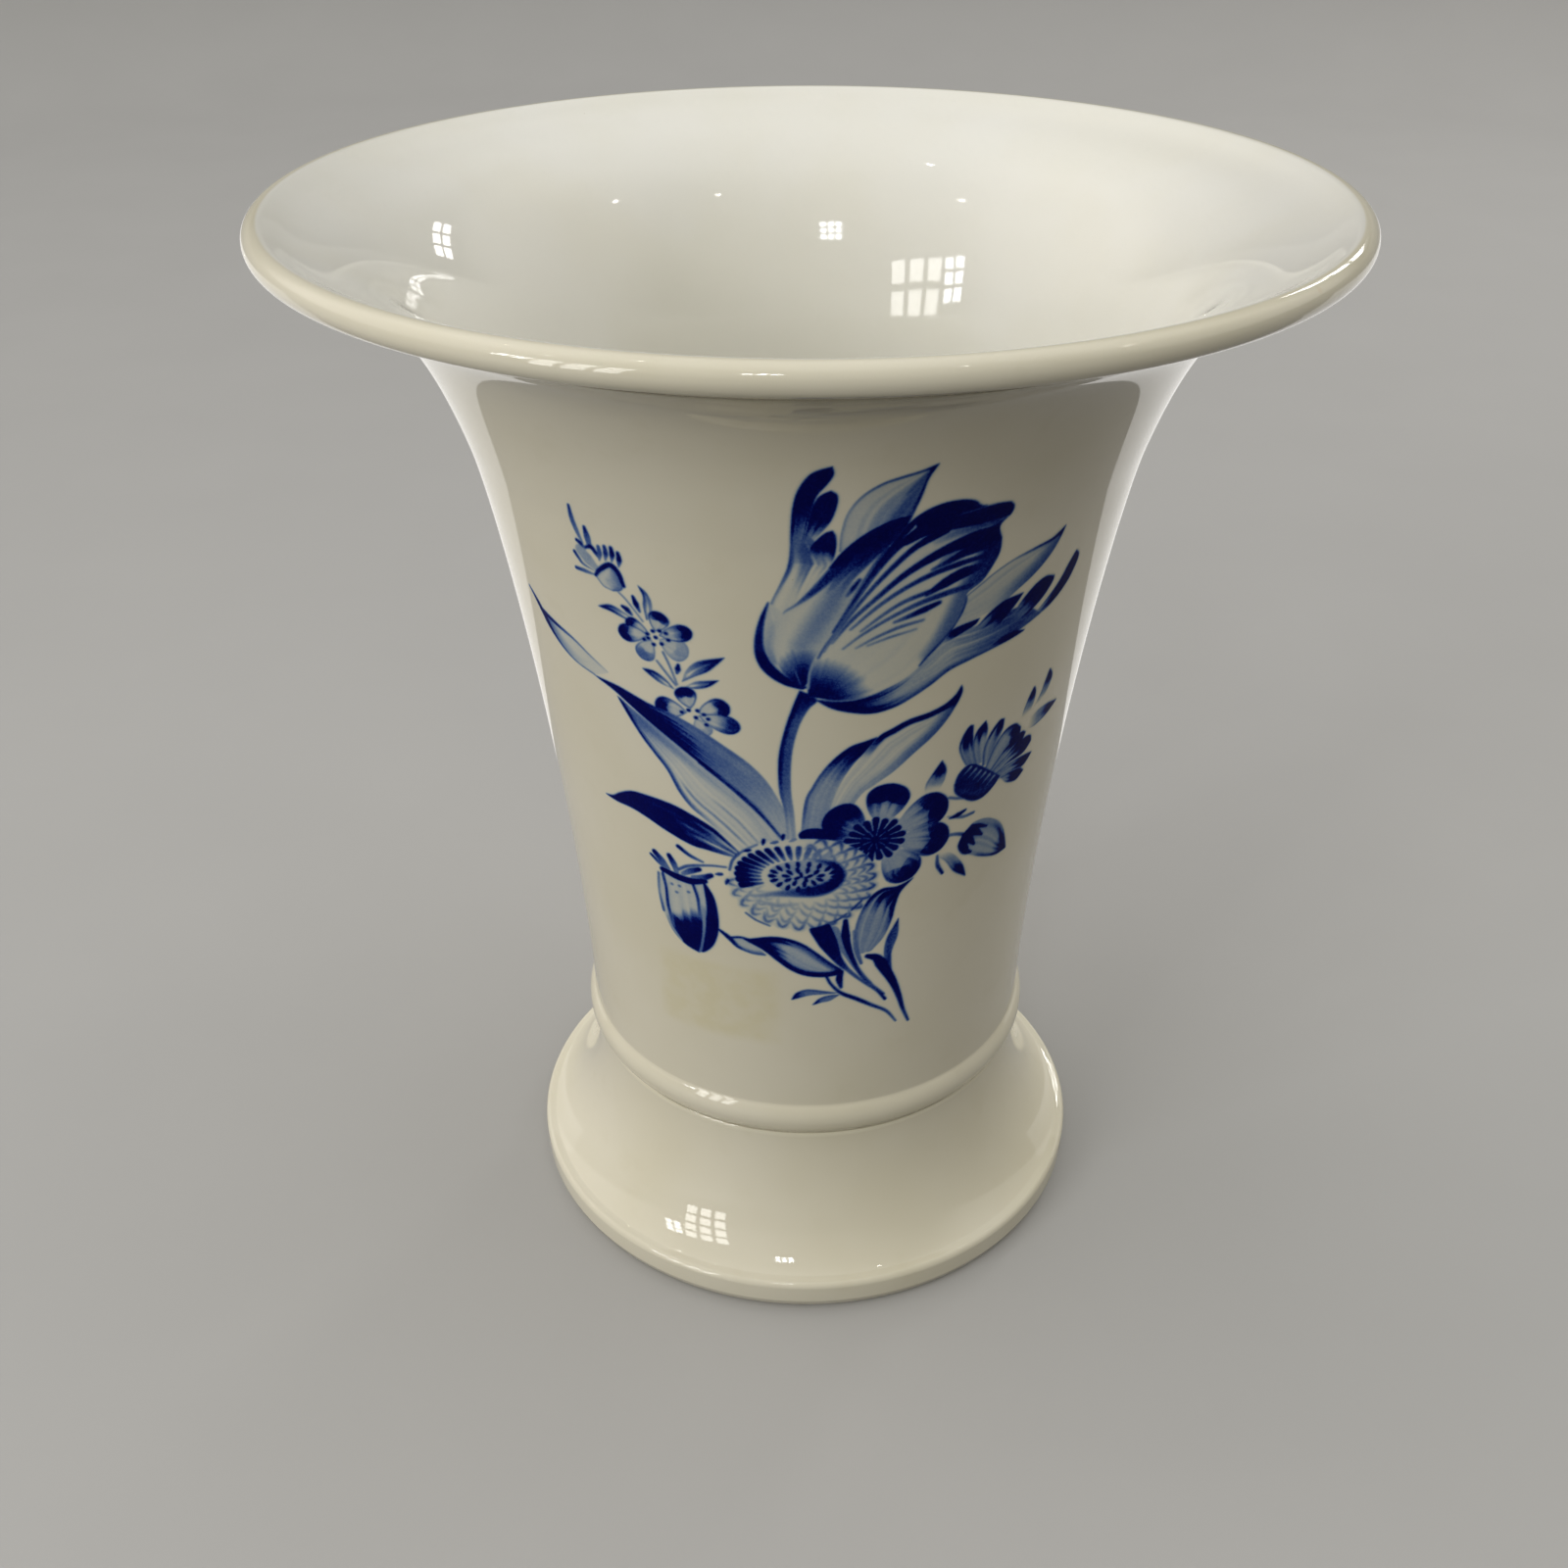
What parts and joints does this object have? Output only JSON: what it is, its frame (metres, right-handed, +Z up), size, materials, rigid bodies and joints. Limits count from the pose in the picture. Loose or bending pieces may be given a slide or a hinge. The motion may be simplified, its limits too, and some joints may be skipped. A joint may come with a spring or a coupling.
{
  "type": "footed porcelain trumpet vase",
  "caption": "Trumpet-shaped white porcelain vase with rolled lip, bead, hollow spreading foot and a painted blue flower spray.",
  "frame": {"origin": "centre of the foot's bearing face, on the surface that the vase stands on", "axes": "+Z up along the vase's axis; -Y towards the painted front; +X to the right as seen from the front"},
  "size_m": [0.16, 0.16, 0.18],
  "materials": {
    "glazed_porcelain": "warm ivory-white hard porcelain under a clear, very glossy glaze",
    "luting_slip": "fired porcelain slip, thinly glazed where it shows as a fine line under the bead",
    "biscuit": "unglazed biscuit porcelain, matt and very finely grained, on the bearing edge of the foot",
    "cobalt_underglaze": "hand-painted cobalt blue, deep navy strokes to pale washes, under the same clear glaze"
  },
  "bodies": {
    "root": {"trumpet_body": "glazed_porcelain", "spreading_foot": "glazed_porcelain", "luting_slip_ring": "luting_slip"}
  },
  "joints": []
}
